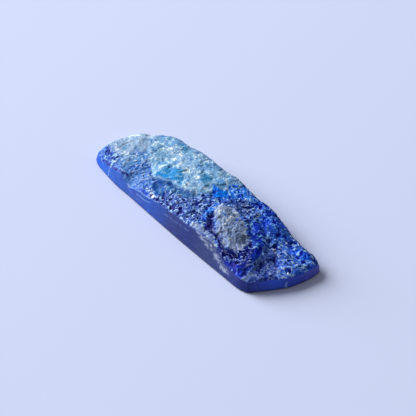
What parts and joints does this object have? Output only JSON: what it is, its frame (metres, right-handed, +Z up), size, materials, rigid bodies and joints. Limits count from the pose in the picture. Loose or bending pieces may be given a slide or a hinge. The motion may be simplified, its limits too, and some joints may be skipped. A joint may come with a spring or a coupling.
{
  "type": "raw azurite slab",
  "caption": "Flat elongated slab of raw blue azurite with a sawn underside, a smooth ground front and right end, and a broken, granular natural top with pale blue and calcite patches.",
  "frame": {"origin": "under the middle of the slab's bounding box, on the surface that it rests on", "axes": "+X along the ground front face from the left tip to the right end, +Y from the ground front face towards the broken back, +Z up out of the broken top"},
  "size_m": [0.0392, 0.0128, 0.0045],
  "materials": {
    "azurite": "broken granular natural stone on top, satin ground faces at the front and right end"
  },
  "bodies": {
    "root": {"azurite_slab": "azurite"}
  },
  "joints": []
}
